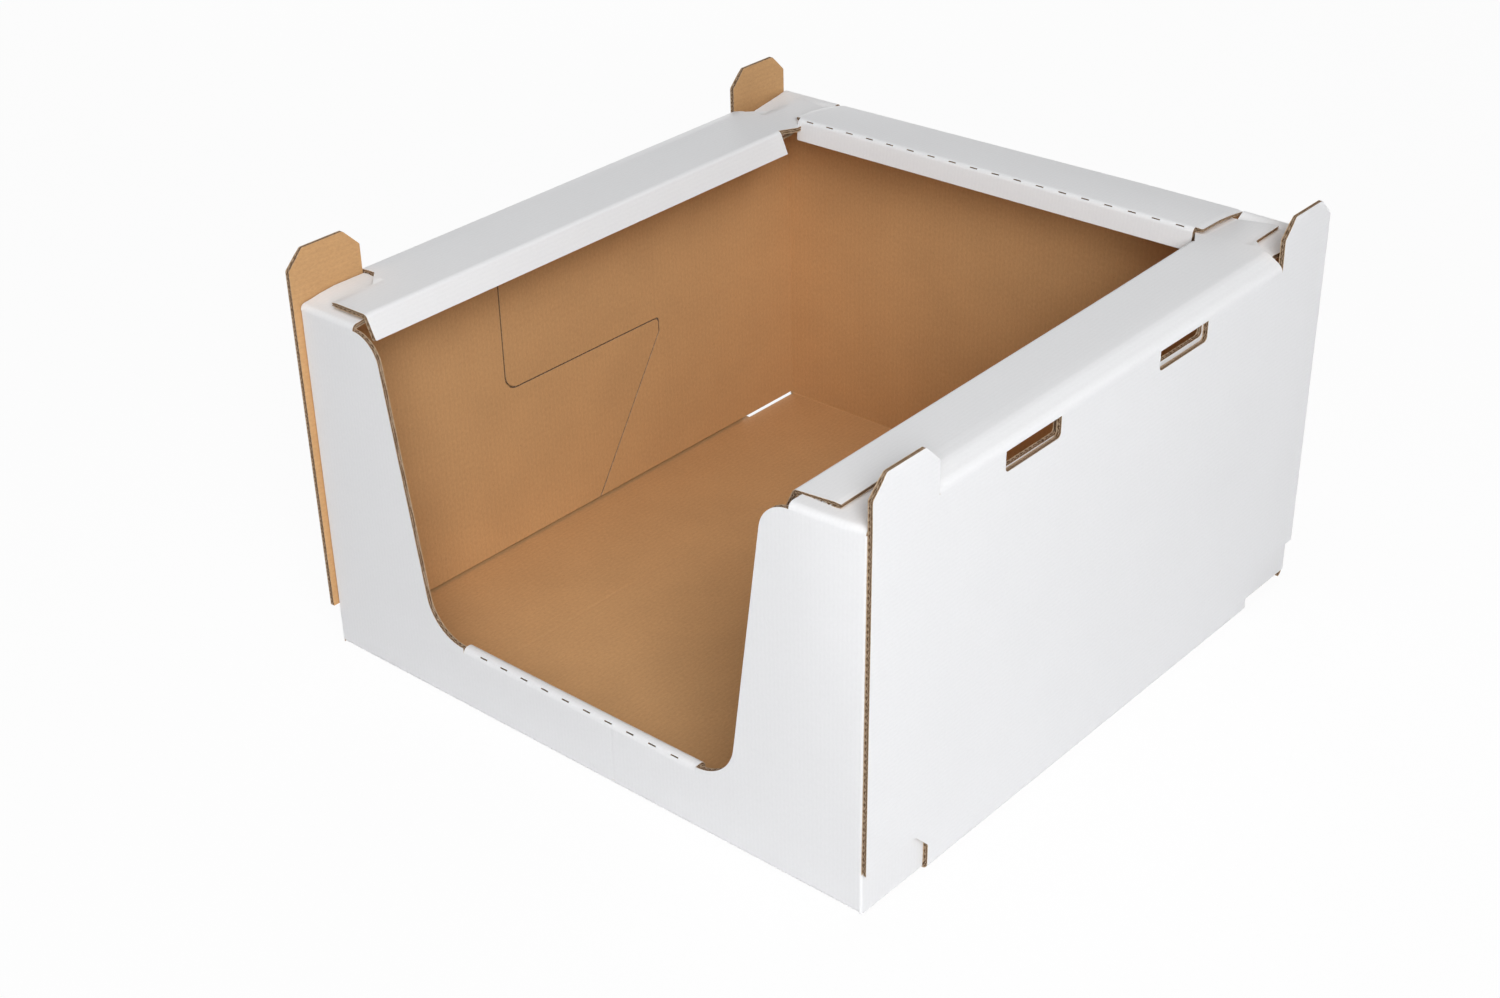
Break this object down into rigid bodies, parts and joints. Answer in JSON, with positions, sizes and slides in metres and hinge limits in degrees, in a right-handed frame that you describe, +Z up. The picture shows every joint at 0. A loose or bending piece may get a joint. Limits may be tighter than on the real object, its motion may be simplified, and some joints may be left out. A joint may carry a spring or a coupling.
{
  "type": "open-front cardboard tray",
  "caption": "Stackable folded tray of double-wall corrugated board, open at the top and through a low front, white outside and kraft inside.",
  "frame": {"origin": "middle of the floor's underside", "axes": "+Z up, the low open front faces -Y, the back wall is at +Y, +X is on the right of someone who looks from the front"},
  "size_m": [0.375, 0.39, 0.2345],
  "materials": {
    "kraft_board": "matte",
    "white_liner": "matte"
  },
  "bodies": {
    "root": {"tray": "kraft_board"}
  },
  "joints": []
}
